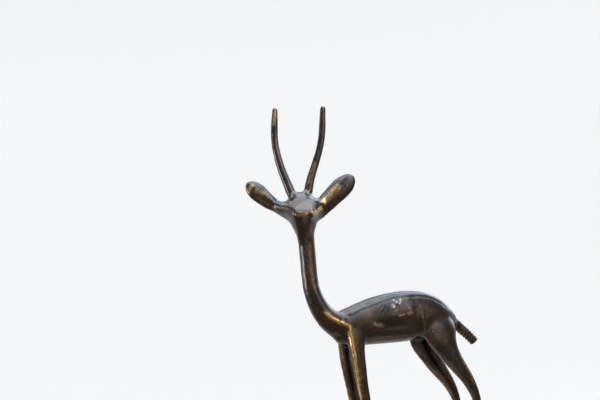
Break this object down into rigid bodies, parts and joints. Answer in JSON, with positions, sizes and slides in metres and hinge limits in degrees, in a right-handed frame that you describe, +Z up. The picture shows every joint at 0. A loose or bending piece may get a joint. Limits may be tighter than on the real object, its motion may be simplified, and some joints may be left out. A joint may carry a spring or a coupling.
{
  "type": "antelope statuette",
  "caption": "Slender cast-bronze antelope standing on its hooves, with an upright neck, turned head, paddle-shaped ears and tall slim horns.",
  "frame": {"origin": "middle of the figure's outline box, on the plane its hooves stand on", "axes": "+X towards the tail (the body faces -X), +Y towards the animal's right side, +Z up"},
  "size_m": [0.0866, 0.0216, 0.1452],
  "materials": {
    "patinated_bronze": "dark brown-black patina over cast bronze, satin, rubbed through to gold on ridges and tips"
  },
  "bodies": {
    "root": {"torso": "patinated_bronze", "neck": "patinated_bronze", "head": "patinated_bronze", "left_ear": "patinated_bronze", "right_ear": "patinated_bronze", "left_horn": "patinated_bronze", "right_horn": "patinated_bronze", "left_foreleg": "patinated_bronze", "right_foreleg": "patinated_bronze", "left_hind_leg": "patinated_bronze", "right_hind_leg": "patinated_bronze", "tail": "patinated_bronze"}
  },
  "joints": []
}
